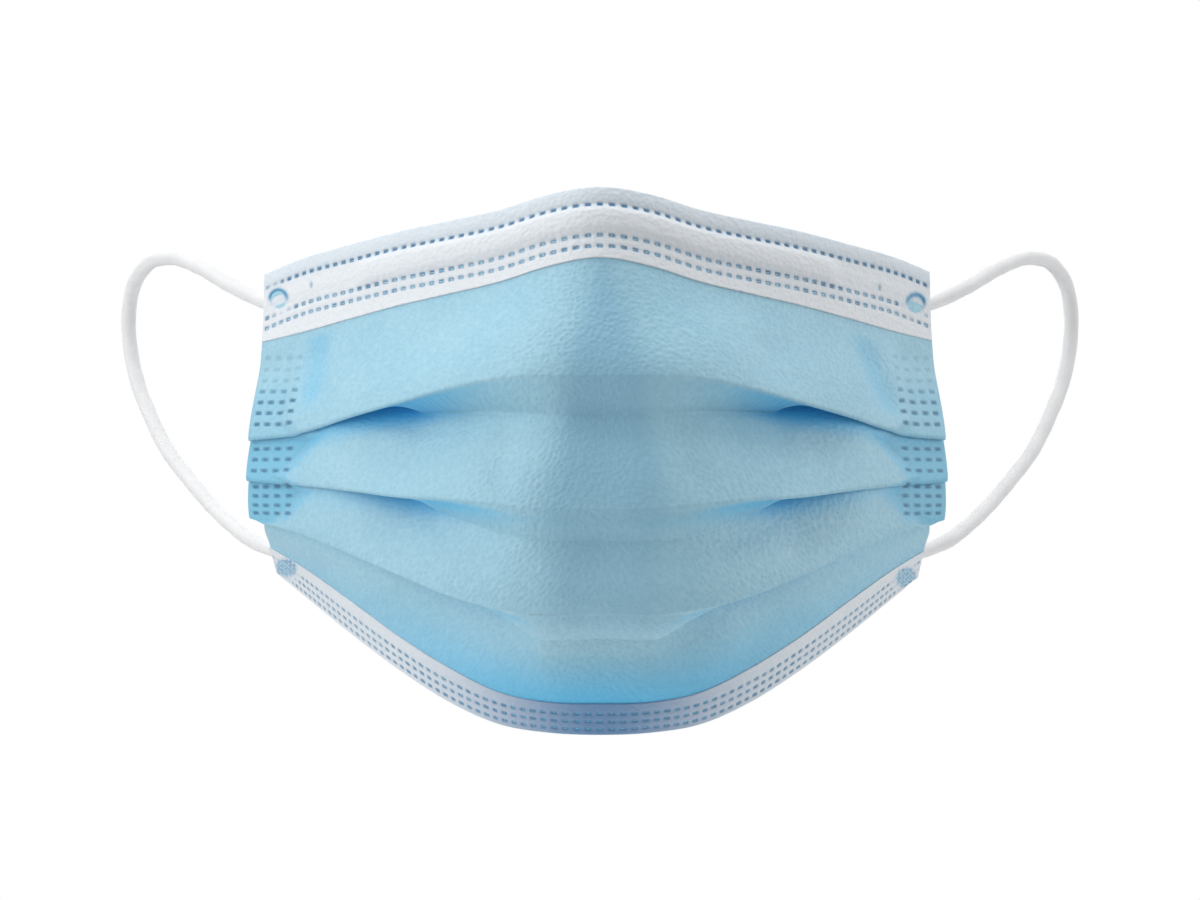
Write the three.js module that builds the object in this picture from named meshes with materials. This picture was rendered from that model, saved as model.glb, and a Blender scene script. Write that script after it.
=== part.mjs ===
// A pleated surgical face mask in the form it takes when worn: a three-ply cloth panel with
// three pleats, a white hem turned over its top and bottom edges, a flat nose wire in the top
// hem, and a round elastic loop welded to the corners of each side.
// Millimetres. +X is across, +Y goes back towards the ears, +Z is up. The origin is on the
// middle of the cloth at the height of the nose wire, where the mask sits on the nose.

import * as THREE from 'three';

// Walls and the space between them
const CLOTH_WALL = 1.0;
const AIR_GAP = 0.3;
const LAYER_PITCH = CLOTH_WALL + AIR_GAP;
const FOLD_RADIUS = LAYER_PITCH / 2;

// Nose wire: a flat strip between the cloth and the front of the top hem
const WIRE_THICK = 0.8;
const WIRE_WIDE = 3.4;
const WIRE_BELOW_EDGE = 6.6;
const WIRE_COLUMNS = 11;
const WIRE_FADE = 0.125;

// Hems: how far the white ply reaches down the front and the back of the edge it covers
const TOP_HEM_BACK = 3.6;
const BOTTOM_HEM_BACK = 3.0;
const HEM_RAMP = 1.7;

// Ear loops: round elastic cord with flattened, welded ends
const CORD_DIAMETER = 3.0;
const CORD_SIDES = 8;
const CORD_STEPS = 40;
const WELD_LONG = 7.0;
const WELD_WIDE = 4.4;
const WELD_THICK = 1.2;
const WELD_GAP = 0.5;
const WELD_BELOW_EDGE = 7.2;
const WELD_TOP_U = 0.945;
const WELD_BOTTOM_U = 0.93;
const WELD_TOP_LEAN = -0.2;
const WELD_BOTTOM_LEAN = 0.3;

// Fineness of the facets
const HALF_COLUMNS = 16;
const ARC_STEPS = 4;
const PLEAT_ROWS = 2 * ARC_STEPS + 1;
const ROWS = { underHem: 3, topPanel: 4, aboveWaist: 2, belowWaist: 3, inBottomHem: 2 };
const PROBE_ACROSS = 0.004;
const PROBE_DOWN = 1;

// The lines that cross the mask, from top to bottom.
// half: half width. front, side: depth at the middle and at the side. ridge: how broad the
// rounding over nose or chin is. heights: at every 10 mm out from the middle.
const STATION_STEP = 10;
const CURL_SHARE = 0.35;
const LINES = [
  { name: 'top_edge', half: 68.1, front: 1.5, side: 50.0, ridge: 8,
    heights: [7.2, 5.7, 2.7, 0.6, -1.4, -3.9, -6.6, -10.6] },
  { name: 'top_hem_line', half: 68.4, front: -3.0, side: 48.0, ridge: 9,
    heights: [-7.0, -8.8, -11.9, -14.2, -16.4, -19.0, -21.7, -24.0] },
  { name: 'fold_1', half: 71.1, front: -15.0, side: 43.0, ridge: 15,
    heights: [-29.8, -30.2, -31.1, -33.0, -35.7, -38.5, -41.6, -42.6] },
  { name: 'fold_2', half: 71.5, front: -16.0, side: 41.5, ridge: 22,
    heights: [-57.6, -57.5, -56.4, -55.3, -54.7, -53.5, -52.4, -51.3] },
  { name: 'fold_3', half: 70.8, front: -13.0, side: 42.0, ridge: 28,
    heights: [-78.7, -78.6, -77.4, -74.6, -70.6, -66.5, -62.5, -59.9] },
  { name: 'bottom_hem_line', half: 67.0, front: -0.5, side: 49.5, ridge: 34,
    heights: [-96.3, -95.9, -93.8, -89.0, -82.9, -75.8, -69.0, -63.4] },
  { name: 'bottom_edge', half: 65.6, front: 5.0, side: 55.8, ridge: 36,
    heights: [-102.3, -101.9, -100.3, -96.0, -89.8, -82.6, -74.8, -67.0] },
];
const LINE_INDEX = Object.fromEntries(LINES.map((line, index) => [line.name, index]));

// The pleats. ply: length of the cloth folded back behind the fold. middle: how far the cloth
// turns in at the fold, in degrees, from the middle of the mask out to `open`. At `level` the
// ply runs straight in, and from `closed` outwards it lies flat behind the panel above.
const PLEATS = [
  { fold: 'fold_1', ply: 9.6, middle: 32, open: 8, level: 41, closed: 60 },
  { fold: 'fold_2', ply: 7.2, middle: 39, open: 10, level: 36, closed: 58 },
  { fold: 'fold_3', ply: 7.2, middle: 39, open: 10, level: 28, closed: 54 },
];
const PLY_SLACK = 0.25;
const WAIST_EARLIEST = 0.25;
const WAIST_LATEST = 0.8;
const SIDE_INSET = 0.052;
const ALIGN_FROM = 0.6;
const MITRE_LEAST = 0.6;

// Middle line of each loop's cord, from the upper corner round the ear to the lower corner
const LOOP_LEFT = [
  [-65.5, 50.2, -15.8],
  [-68.2, 54.0, -15.2],
  [-71.3, 58.2, -13.9],
  [-74.9, 63.2, -12.1],
  [-82.0, 76.0, -8.0],
  [-89.3, 93.0, -5.8],
  [-94.0, 104.0, -7.4],
  [-96.9, 110.5, -12.0],
  [-97.8, 112.5, -18.0],
  [-97.5, 112.0, -23.6],
  [-95.9, 108.5, -31.2],
  [-93.2, 103.0, -37.9],
  [-89.3, 95.5, -45.4],
  [-84.4, 86.5, -51.6],
  [-79.5, 77.0, -57.0],
  [-74.8, 67.5, -61.2],
  [-71.0, 60.8, -63.9],
  [-66.8, 56.0, -65.6],
  [-62.3, 50.2, -66.7],
];
const LOOP_RIGHT = LOOP_LEFT.map(([x, y, z]) => [-x, y, z]);

const MATERIALS = {
  blue_cloth: new THREE.MeshStandardMaterial({ color: 0x86c4e0, roughness: 0.9, metalness: 0 }),
  white_cloth: new THREE.MeshStandardMaterial({ color: 0xe6edf2, roughness: 0.9, metalness: 0 }),
  wire_coat: new THREE.MeshStandardMaterial({ color: 0xf0f2f3, roughness: 0.5, metalness: 0 }),
  elastic: new THREE.MeshStandardMaterial({ color: 0xf2f3f3, roughness: 0.85, metalness: 0 }),
};

/** Value between table stations, on a smooth curve that is level at the first station. */
function betweenStations(values, distance) {
  const place = distance / STATION_STEP;
  const cell = Math.min(Math.floor(place), values.length - 2);
  const t = place - cell;
  const slopeAt = (index) => {
    if (index === 0) return 0;
    if (index === values.length - 1) return values[index] - values[index - 1];
    return (values[index + 1] - values[index - 1]) / 2;
  };
  const rise = values[cell + 1] - values[cell];
  const bend = slopeAt(cell) * (1 - t) ** 2 * t - slopeAt(cell + 1) * (1 - t) * t ** 2;
  return values[cell] + rise * t * t * (3 - 2 * t) + bend;
}

/** Depth of a line at x: a rounded ridge that runs out to straight cheeks, plus a curl. */
function depthOfLine(line, x) {
  const reach = Math.hypot(line.half, line.ridge) - line.ridge;
  const cheek = (Math.hypot(x, line.ridge) - line.ridge) / reach;
  const curl = Math.abs(x / line.half) ** 3;
  const share = (1 - CURL_SHARE) * cheek + CURL_SHARE * curl;
  return line.front + (line.side - line.front) * share;
}

/** One column of the base form: a smooth curve from top to bottom through all the lines. */
class Column {
  constructor(u) {
    this.u = u;
    this.knots = LINES.map((line) => {
      const x = u * line.half;
      const height = betweenStations(line.heights, Math.abs(x));
      return new THREE.Vector3(x, depthOfLine(line, x), height);
    });
    this.lengths = [0];
    for (let k = 1; k < this.knots.length; k += 1) {
      const step = this.knots[k].distanceTo(this.knots[k - 1]);
      this.lengths.push(this.lengths[k - 1] + step);
    }
    this.slopes = this.knots.map((_, k) => this.slopeAtKnot(k));
  }

  chord(k) {
    const run = this.lengths[k + 1] - this.lengths[k];
    return this.knots[k + 1].clone().sub(this.knots[k]).divideScalar(run);
  }

  slopeAtKnot(k) {
    if (k === 0) return this.chord(0);
    if (k === this.knots.length - 1) return this.chord(k - 1);
    const before = this.lengths[k] - this.lengths[k - 1];
    const after = this.lengths[k + 1] - this.lengths[k];
    const mixed = this.chord(k - 1).multiplyScalar(after).add(this.chord(k).multiplyScalar(before));
    return mixed.divideScalar(before + after);
  }

  lengthAt(name) {
    return this.lengths[LINE_INDEX[name]];
  }

  /** The point `along` mm down the column; past either end the curve runs straight on. */
  pointAt(along) {
    const last = this.knots.length - 1;
    const total = this.lengths[last];
    if (along <= 0) return this.knots[0].clone().addScaledVector(this.slopes[0], along);
    if (along >= total) {
      return this.knots[last].clone().addScaledVector(this.slopes[last], along - total);
    }
    let k = 0;
    while (along > this.lengths[k + 1]) k += 1;
    const run = this.lengths[k + 1] - this.lengths[k];
    const t = (along - this.lengths[k]) / run;
    const ease = t * t * (3 - 2 * t);
    const point = this.knots[k].clone().lerp(this.knots[k + 1], ease);
    point.addScaledVector(this.slopes[k], run * (1 - t) ** 2 * t);
    point.addScaledVector(this.slopes[k + 1], -run * (1 - t) * t ** 2);
    return point;
  }
}

const smoothStep = (t) => THREE.MathUtils.smoothstep(t, 0, 1);

/** Local frame of the base form: the point, the way across and the way inward. */
function frameAt(u, along) {
  const column = new Column(u);
  const down = column.pointAt(along + PROBE_DOWN).sub(column.pointAt(along - PROBE_DOWN));
  const across = new Column(u + PROBE_ACROSS).pointAt(along);
  across.sub(new Column(u - PROBE_ACROSS).pointAt(along)).normalize();
  const inward = across.clone().cross(down).normalize();
  return { point: column.pointAt(along), across, inward };
}

/**
 * The place `along` mm down column u and `depth` mm behind the base form. Towards the sides the
 * layers behind also lie further out, so that their cut ends line up as seen from the front.
 */
function placeOnForm(u, along, depth) {
  const { point, across, inward } = frameAt(u, along);
  const outward = Math.sign(u) * smoothStep((Math.abs(u) - ALIGN_FROM) / (1 - ALIGN_FROM));
  return point.addScaledVector(inward, depth).addScaledVector(across, depth * outward);
}

/** How far the cloth turns in at a fold, in radians: opened in the middle, shut at the sides. */
function turnOfPleat(pleat, x) {
  const first = THREE.MathUtils.clamp((x - pleat.open) / (pleat.level - pleat.open), 0, 1);
  const second = THREE.MathUtils.clamp((x - pleat.level) / (pleat.closed - pleat.level), 0, 1);
  const degrees = pleat.middle + (90 - pleat.middle) * first ** 2 + 90 * (1 - (1 - second) ** 2);
  return THREE.MathUtils.degToRad(degrees);
}

/** Adds an arc to a path of [along, depth] points while its heading turns from one to other. */
function addArc(path, radius, from, to) {
  const sign = Math.sign(to - from);
  const [along, depth] = path.at(-1);
  for (let step = 1; step <= ARC_STEPS; step += 1) {
    const heading = from + ((to - from) * step) / ARC_STEPS;
    const forward = sign * radius * (Math.sin(heading) - Math.sin(from));
    const inward = sign * radius * (Math.cos(from) - Math.cos(heading));
    path.push([along + forward, depth + inward]);
  }
}

/** Adds a straight run of equal steps to a path. */
function addRun(path, along, depth, steps) {
  const [alongStart, depthStart] = path.at(-1);
  for (let step = 1; step <= steps; step += 1) {
    const t = step / steps;
    path.push([alongStart + (along - alongStart) * t, depthStart + (depth - depthStart) * t]);
  }
}

/** Path of the panel below a pleat: straight when open, held behind the fold when shut. */
function addPanel(path, foldAbove, turn, end) {
  const [start, depthStart] = path.at(-1);
  const share = (foldAbove + FOLD_RADIUS - start) / (end - start);
  const part = THREE.MathUtils.clamp(share, WAIST_EARLIEST, WAIST_LATEST);
  const straight = depthStart * (1 - part);
  const waist = turn > Math.PI / 2 ? Math.max(straight, 2 * LAYER_PITCH) : straight;
  addRun(path, start + (end - start) * part, waist, ROWS.aboveWaist);
  addRun(path, end, 0, ROWS.belowWaist);
}

/** Middle line of the cloth at one column: four panels with a folded ply after each fold. */
function clothPath(column) {
  const tuck = LAYER_PITCH + FOLD_RADIUS;
  const path = [[tuck, 0]];
  addRun(path, column.lengthAt('top_hem_line'), 0, ROWS.underHem);
  let foldAbove = null;
  let turnAbove = 0;
  for (const pleat of PLEATS) {
    const fold = column.lengthAt(pleat.fold);
    const turn = turnOfPleat(pleat, Math.abs(column.u) * LINES[LINE_INDEX[pleat.fold]].half);
    const end = fold - FOLD_RADIUS * Math.sin(Math.min(turn, Math.PI / 2));
    if (foldAbove === null) addRun(path, end, 0, ROWS.topPanel);
    else addPanel(path, foldAbove, turnAbove, end);
    const [alongLast, depthLast] = path.at(-2);
    const tilt = Math.atan2(depthLast, end - alongLast);
    addArc(path, FOLD_RADIUS, -tilt, turn - tilt);
    const ply = pleat.ply * (1 - PLY_SLACK * Math.sin(turn) ** 2);
    const [along, depth] = path.at(-1);
    addRun(path, along + ply * Math.cos(turn - tilt), depth + ply * Math.sin(turn - tilt), 1);
    addArc(path, FOLD_RADIUS, turn - tilt, -tilt);
    foldAbove = fold;
    turnAbove = turn;
  }
  addPanel(path, foldAbove, turnAbove, column.lengthAt('bottom_hem_line'));
  addRun(path, column.lengthAt('bottom_edge') - tuck, 0, ROWS.inBottomHem);
  return path;
}

/** Narrowing of the lowest panel, whose sides stand in behind the panel above it. */
function insetOfCloth(index, count) {
  const panelRows = ROWS.aboveWaist + ROWS.belowWaist + ROWS.inBottomHem;
  const panelStart = count - 1 - panelRows;
  const foldStart = panelStart - PLEAT_ROWS;
  const hidden = smoothStep((index - foldStart - 1) / ARC_STEPS);
  const regained = smoothStep((index - panelStart) / panelRows);
  return SIDE_INSET * hidden * (1 - regained);
}

/** The path moved sideways by a distance, with mitred corners. */
function offsetPath(path, distance) {
  return path.map((point, index) => {
    const before = path[Math.max(index - 1, 0)];
    const after = path[Math.min(index + 1, path.length - 1)];
    const legs = [[before, point], [point, after]]
      .filter(([from, to]) => from !== to)
      .map(([from, to]) => new THREE.Vector2(to[0] - from[0], to[1] - from[1]).normalize());
    const middle = legs[0].clone().add(legs.at(-1)).normalize();
    const stretch = 1 / Math.max(middle.dot(legs[0]), MITRE_LEAST);
    return [point[0] - middle.y * distance * stretch, point[1] + middle.x * distance * stretch];
  });
}

/** Closed mesh from rings of points, one ring a column; a ring is a wall's two faces. */
function loftWall(rings) {
  const size = rings[0].length;
  const rows = size / 2;
  const positions = rings.flat().flatMap((point) => [point.x, point.y, point.z]);
  const triangles = [];
  const quad = (a, b, c, d) => triangles.push(a, b, c, a, c, d);
  for (let column = 0; column + 1 < rings.length; column += 1) {
    for (let index = 0; index < size; index += 1) {
      const next = (index + 1) % size;
      const [left, right] = [column * size, (column + 1) * size];
      quad(left + index, left + next, right + next, right + index);
    }
  }
  const last = (rings.length - 1) * size;
  for (let row = 0; row + 1 < rows; row += 1) {
    const [outer, outerNext] = [row, row + 1];
    const [inner, innerNext] = [size - 1 - row, size - 2 - row];
    quad(outer, inner, innerNext, outerNext);
    quad(last + outer, last + outerNext, last + innerNext, last + inner);
  }
  const geometry = new THREE.BufferGeometry();
  geometry.setAttribute('position', new THREE.Float32BufferAttribute(positions, 3));
  geometry.setIndex(triangles);
  geometry.computeVertexNormals();
  return geometry;
}

/** Cloth wall about a path that changes from column to column. */
function wallAlong(pathOf, wall, halfColumns = HALF_COLUMNS, insetOf = () => 0) {
  const rings = [];
  for (let column = -halfColumns; column <= halfColumns; column += 1) {
    const u = column / HALF_COLUMNS;
    const path = pathOf(new Column(u));
    const face = (distance) => offsetPath(path, distance).map(([along, depth], index) => {
      return placeOnForm(u * (1 - insetOf(index, path.length)), along, depth);
    });
    rings.push([...face(-wall / 2), ...face(wall / 2).reverse()]);
  }
  return loftWall(rings);
}

/** How much of the wire's thickness the top hem bulges by: all of it over the wire. */
function wireBulge(u) {
  const end = WIRE_COLUMNS / HALF_COLUMNS;
  return 1 - smoothStep((Math.abs(u) - end) / WIRE_FADE);
}

/** Middle line of the top hem: up the front over the wire, over the edge, down the back. */
function topHemPath(column) {
  const flat = -LAYER_PITCH;
  const raised = flat - (WIRE_THICK + AIR_GAP) * wireBulge(column.u);
  const halfWire = WIRE_WIDE / 2 + AIR_GAP;
  const path = [[column.lengthAt('top_hem_line'), flat]];
  addRun(path, WIRE_BELOW_EDGE + halfWire + HEM_RAMP, flat, 1);
  addRun(path, WIRE_BELOW_EDGE + halfWire, raised, 1);
  addRun(path, WIRE_BELOW_EDGE - halfWire, raised, 1);
  addRun(path, WIRE_BELOW_EDGE - halfWire - HEM_RAMP, flat, 1);
  addRun(path, LAYER_PITCH, flat, 1);
  addArc(path, LAYER_PITCH, Math.PI, 0);
  addRun(path, TOP_HEM_BACK, LAYER_PITCH, 1);
  return path;
}

/** Middle line of the bottom hem: down the front, under the edge, up the back. */
function bottomHemPath(column) {
  const edge = column.lengthAt('bottom_edge');
  const path = [[column.lengthAt('bottom_hem_line'), -LAYER_PITCH]];
  addRun(path, edge - LAYER_PITCH, -LAYER_PITCH, 2);
  addArc(path, LAYER_PITCH, 0, Math.PI);
  addRun(path, edge - BOTTOM_HEM_BACK, LAYER_PITCH, 1);
  return path;
}

/** Middle line of the nose wire's section, lying between the cloth and the hem. */
function wirePath() {
  const depth = -(CLOTH_WALL / 2 + AIR_GAP + WIRE_THICK / 2);
  const half = WIRE_WIDE / 2;
  return [[WIRE_BELOW_EDGE - half, depth], [WIRE_BELOW_EDGE + half, depth]];
}

/** Round elastic cord along a smooth curve through the points of its route. */
function cordGeometry(route) {
  const curve = new THREE.CatmullRomCurve3(route.map((point) => new THREE.Vector3(...point)));
  const section = new THREE.Shape();
  for (let side = 0; side < CORD_SIDES; side += 1) {
    const angle = (side * 2 * Math.PI) / CORD_SIDES;
    const x = (CORD_DIAMETER / 2) * Math.cos(angle);
    const y = (CORD_DIAMETER / 2) * Math.sin(angle);
    if (side === 0) section.moveTo(x, y);
    else section.lineTo(x, y);
  }
  section.closePath();
  return new THREE.ExtrudeGeometry(section, { steps: CORD_STEPS, extrudePath: curve });
}

/** Flattened end of a cord: a plate with round ends, welded flat to the back of the cloth. */
function weldMesh(u, along, lean) {
  const halfRun = (WELD_LONG - WELD_WIDE) / 2;
  const outline = new THREE.Shape();
  outline.absarc(halfRun, 0, WELD_WIDE / 2, -Math.PI / 2, Math.PI / 2, false);
  outline.absarc(-halfRun, 0, WELD_WIDE / 2, Math.PI / 2, (3 * Math.PI) / 2, false);
  const geometry = new THREE.ExtrudeGeometry(outline, {
    depth: WELD_THICK,
    curveSegments: 6,
    bevelEnabled: false,
  });
  const frame = frameAt(u, along);
  const across = frame.across.clone().applyAxisAngle(frame.inward, lean);
  const down = frame.inward.clone().cross(across);
  const mesh = new THREE.Mesh(geometry, MATERIALS.elastic);
  mesh.quaternion.setFromRotationMatrix(new THREE.Matrix4().makeBasis(across, down, frame.inward));
  mesh.position.copy(placeOnForm(u, along, CLOTH_WALL / 2 + WELD_GAP));
  return mesh;
}

/** Gives a mesh its name. */
function named(name, mesh) {
  mesh.name = name;
  return mesh;
}

const mask = new THREE.Group();
const cloth = wallAlong(clothPath, CLOTH_WALL, HALF_COLUMNS, insetOfCloth);
const topHem = wallAlong(topHemPath, CLOTH_WALL);
const bottomHem = wallAlong(bottomHemPath, CLOTH_WALL);
const wire = wallAlong(wirePath, WIRE_THICK, WIRE_COLUMNS);
mask.add(named('pleated_panel', new THREE.Mesh(cloth, MATERIALS.blue_cloth)));
mask.add(named('top_hem', new THREE.Mesh(topHem, MATERIALS.white_cloth)));
mask.add(named('bottom_hem', new THREE.Mesh(bottomHem, MATERIALS.white_cloth)));
mask.add(named('nose_wire', new THREE.Mesh(wire, MATERIALS.wire_coat)));
for (const [side, sign, route] of [['left', -1, LOOP_LEFT], ['right', 1, LOOP_RIGHT]]) {
  mask.add(named(`ear_loop_${side}`, new THREE.Mesh(cordGeometry(route), MATERIALS.elastic)));
  const bottomAlong = new Column(WELD_BOTTOM_U).lengthAt('bottom_edge') - WELD_BELOW_EDGE;
  const top = weldMesh(sign * WELD_TOP_U, WELD_BELOW_EDGE, sign * WELD_TOP_LEAN);
  const bottom = weldMesh(sign * WELD_BOTTOM_U, bottomAlong, -sign * WELD_BOTTOM_LEAN);
  mask.add(named(`loop_weld_top_${side}`, top));
  mask.add(named(`loop_weld_bottom_${side}`, bottom));
}

export default mask;
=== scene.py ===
"""A pleated surgical face mask in its worn form: two plies of spunbond cloth with three pleats,
white hems welded over the top and bottom edges, a nose wire, and round knitted ear loops."""

import math
from collections import namedtuple

import bmesh
import bpy
import numpy as np
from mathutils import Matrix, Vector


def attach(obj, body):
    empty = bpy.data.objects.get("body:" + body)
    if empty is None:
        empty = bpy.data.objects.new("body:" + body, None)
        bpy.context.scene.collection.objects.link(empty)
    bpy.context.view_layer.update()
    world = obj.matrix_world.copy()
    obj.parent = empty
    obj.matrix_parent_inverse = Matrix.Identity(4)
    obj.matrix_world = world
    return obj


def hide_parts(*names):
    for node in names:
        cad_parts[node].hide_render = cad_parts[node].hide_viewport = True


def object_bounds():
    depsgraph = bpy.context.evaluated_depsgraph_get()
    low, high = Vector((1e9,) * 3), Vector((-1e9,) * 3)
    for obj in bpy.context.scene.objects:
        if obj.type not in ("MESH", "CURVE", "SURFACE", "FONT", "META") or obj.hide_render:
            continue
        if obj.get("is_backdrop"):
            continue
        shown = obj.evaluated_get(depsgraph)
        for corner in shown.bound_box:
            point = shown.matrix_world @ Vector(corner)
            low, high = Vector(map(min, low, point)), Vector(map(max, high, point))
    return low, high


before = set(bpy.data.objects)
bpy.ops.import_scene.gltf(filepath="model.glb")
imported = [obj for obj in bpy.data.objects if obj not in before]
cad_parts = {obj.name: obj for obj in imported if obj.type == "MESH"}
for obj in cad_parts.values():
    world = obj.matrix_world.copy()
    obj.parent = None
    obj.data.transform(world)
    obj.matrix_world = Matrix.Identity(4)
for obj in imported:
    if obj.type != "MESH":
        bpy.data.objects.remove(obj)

CAD_LOW, CAD_HIGH = (np.array(corner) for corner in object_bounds())
MM = 0.001

# ---------------------------------------------------------------- camera
CAMERA_BACK = 3.0
CAMERA_FIELD = 0.240
CAMERA_RAISE = 2.3 * MM
SENSOR = 36.0


def place_camera():
    """A long lens straight in front, a little above the middle of the mask."""
    data = bpy.data.cameras.new("camera")
    data.sensor_width = SENSOR
    data.lens = SENSOR * CAMERA_BACK / CAMERA_FIELD
    data.clip_end = 100.0
    camera = bpy.data.objects.new("camera", data)
    middle = (CAD_LOW[2] + CAD_HIGH[2]) / 2
    camera.location = (0.0, -CAMERA_BACK, middle + CAMERA_RAISE)
    camera.rotation_euler = (math.pi / 2, 0.0, 0.0)
    bpy.context.collection.objects.link(camera)
    bpy.context.scene.camera = camera


place_camera()

# ---------------------------------------------------------------- mesh helpers


def smooth(t):
    """Runs from 0 to 1 with level ends: 3t^2 - 2t^3, held at 0 and 1 outside."""
    t = np.clip(t, 0.0, 1.0)
    return t * t * (3.0 - 2.0 * t)


def spot(distance, half, soft):
    """1 inside `half` of the middle, falling smoothly to 0 over `soft`."""
    return 1.0 - smooth((np.abs(distance) - half) / soft)


def hump(distance, width):
    """A bell of the given half width: exp(-(distance / width)^2)."""
    return np.exp(-((distance / width) ** 2))


def make_piece(name, points, quads, material, replaces, uv=None, marks=None):
    """Object at the origin from points (in mm), quads, a UV per point and named point values."""
    mesh = bpy.data.meshes.new(name)
    points = np.asarray(points, dtype=np.float64) * MM
    quads = np.asarray(quads, dtype=np.int64)
    mesh.from_pydata(points, [], quads)
    mesh.shade_smooth()
    if uv is not None:
        layer = mesh.uv_layers.new(name="cloth")
        layer.data.foreach_set("uv", (uv[quads.ravel()] * MM).astype(np.float32).ravel())
    for mark, values in (marks or {}).items():
        attribute = mesh.attributes.new(mark, "FLOAT", "POINT")
        attribute.data.foreach_set("value", values.astype(np.float32).ravel())
    mesh.materials.append(material)
    piece = bpy.data.objects.new(name, mesh)
    bpy.context.collection.objects.link(piece)
    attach(piece, "root")
    if replaces:
        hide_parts(replaces)
    return piece


def tube_quads(rings, sides):
    """Quads of a tube of rings, each joined to the next and closed round its sides."""
    ring, side = np.meshgrid(np.arange(rings - 1), np.arange(sides), indexing="ij")
    after = (side + 1) % sides
    corners = (ring * sides + side, ring * sides + after)
    corners += ((ring + 1) * sides + after, (ring + 1) * sides + side)
    return np.stack(corners, axis=-1).reshape(-1, 4)


def wall_quads(columns, rows):
    """Quads of a closed wall: each column is a ring, down the front face and up the back."""
    sides = 2 * rows
    quads = tube_quads(columns, sides)[:, ::-1]
    row = np.arange(rows - 1)
    first = np.stack((row, sides - 1 - row, sides - 2 - row, row + 1), axis=-1)
    last = first[:, ::-1] + (columns - 1) * sides
    return np.concatenate((quads, first[:, ::-1], last[:, ::-1]))[:, ::-1]


# ---------------------------------------------------------------- the worn form
# Lines that cross the mask, from top to bottom, in mm. half: half width. front, side: depth at
# the middle and at the side. ridge: how broad the rounding over nose or chin is. flat_in,
# flat_wide: how far the middle is pressed flat, and how wide. HEIGHT_ROWS gives the height of
# each line at every STATION_STEP out from the middle.
Line = namedtuple("Line", "name half front side ridge flat_in flat_wide")
LINES = (
    Line("top_edge", 68.1, 1.5, 50.0, 8, 0.2, 4.0),
    Line("top_hem", 68.6, -3.0, 48.0, 9, 0.2, 5.0),
    Line("fold_1", 71.6, -15.0, 43.0, 15, 3.6, 12.5),
    Line("fold_2", 72.0, -16.0, 41.5, 22, 2.9, 13.0),
    Line("fold_3", 71.3, -13.0, 42.0, 28, 2.2, 13.0),
    Line("bottom_hem", 67.2, -0.5, 49.5, 34, 0.5, 13.0),
    Line("bottom_edge", 65.6, 5.0, 55.8, 36, 0.0, 13.0),
)
HEIGHT_ROWS = (
    (7.2, 5.7, 2.7, 0.6, -1.4, -3.9, -6.6, -10.6),
    (-7.0, -8.8, -11.9, -14.2, -16.4, -19.0, -21.7, -24.0),
    (-29.8, -30.2, -31.1, -33.0, -35.7, -38.5, -41.6, -42.6),
    (-57.6, -57.5, -56.4, -55.3, -54.7, -53.5, -52.4, -51.3),
    (-78.7, -78.6, -77.4, -74.6, -70.6, -66.5, -62.5, -59.9),
    (-96.3, -95.9, -93.8, -89.0, -82.9, -75.8, -69.0, -63.4),
    (-102.3, -101.9, -100.3, -96.0, -89.8, -82.6, -74.8, -67.0),
)
STATION_STEP = 10.0
CURL_SHARE = 0.35
# The right half is drawn in by this share, fully so from NARROW_BY of the half width on
RIGHT_NARROWER = 0.018
NARROW_BY = 0.6
# Half width, in mm, that turns a share u into a plain distance from the middle
NOMINAL_HALF = 70.0
LINE_INDEX = {line.name: index for index, line in enumerate(LINES)}
HALF = np.array([line.half for line in LINES])
FRONT = np.array([line.front for line in LINES])
SIDE = np.array([line.side for line in LINES])
RIDGE = np.array([line.ridge for line in LINES], dtype=float)
HEIGHTS = np.array(HEIGHT_ROWS)
HEIGHT_SLOPES = np.gradient(HEIGHTS, axis=1)
HEIGHT_SLOPES[:, 0] = 0.0

# The pleats. ply: cloth folded back behind the fold. middle: degrees that the cloth turns in at
# the fold, out to `open`. At `level` the ply runs straight in; from `closed` on it lies flat.
# dusk_at, dusk_wide, dusk: where the gap under the fold is deepest in shade, and how deep.
Pleat = namedtuple("Pleat", "fold ply middle open level closed dusk_at dusk_wide dusk")
PLEATS = (
    Pleat("fold_1", 9.6, 32, 8, 41, 60, 43.0, 17.0, 0.9),
    Pleat("fold_2", 7.2, 39, 15, 36, 58, 34.0, 18.0, 0.85),
    Pleat("fold_3", 7.2, 22, 12, 28, 54, 26.0, 16.0, 0.55),
)
PLY_SLACK = 0.25
SIDE_INSET = 0.052
ALIGN_FROM = 0.6
# Rows of points down each stretch of the cloth
EDGE_ROWS = 8
TOP_PANEL_ROWS = 86
FOLD_ROWS = 8
PLY_ROWS = 9
TURN_ROWS = 6
WAIST_ROWS = 9
PANEL_ROWS = 32
LAST_PANEL_ROWS = 28

# Cloth as thin as the real one, in mm: two plies, with a small gap under the hems
PLY_THICK = 0.20
PLY_APART = 0.04
WALL = 2 * PLY_THICK + PLY_APART
LAYER_PITCH = WALL + 0.34
FOLD_RADIUS = LAYER_PITCH / 2
HEM_THICK = 0.22
HEM_GAP = 0.03
HEM_DEPTH = WALL / 2 + HEM_GAP + HEM_THICK / 2


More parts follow.
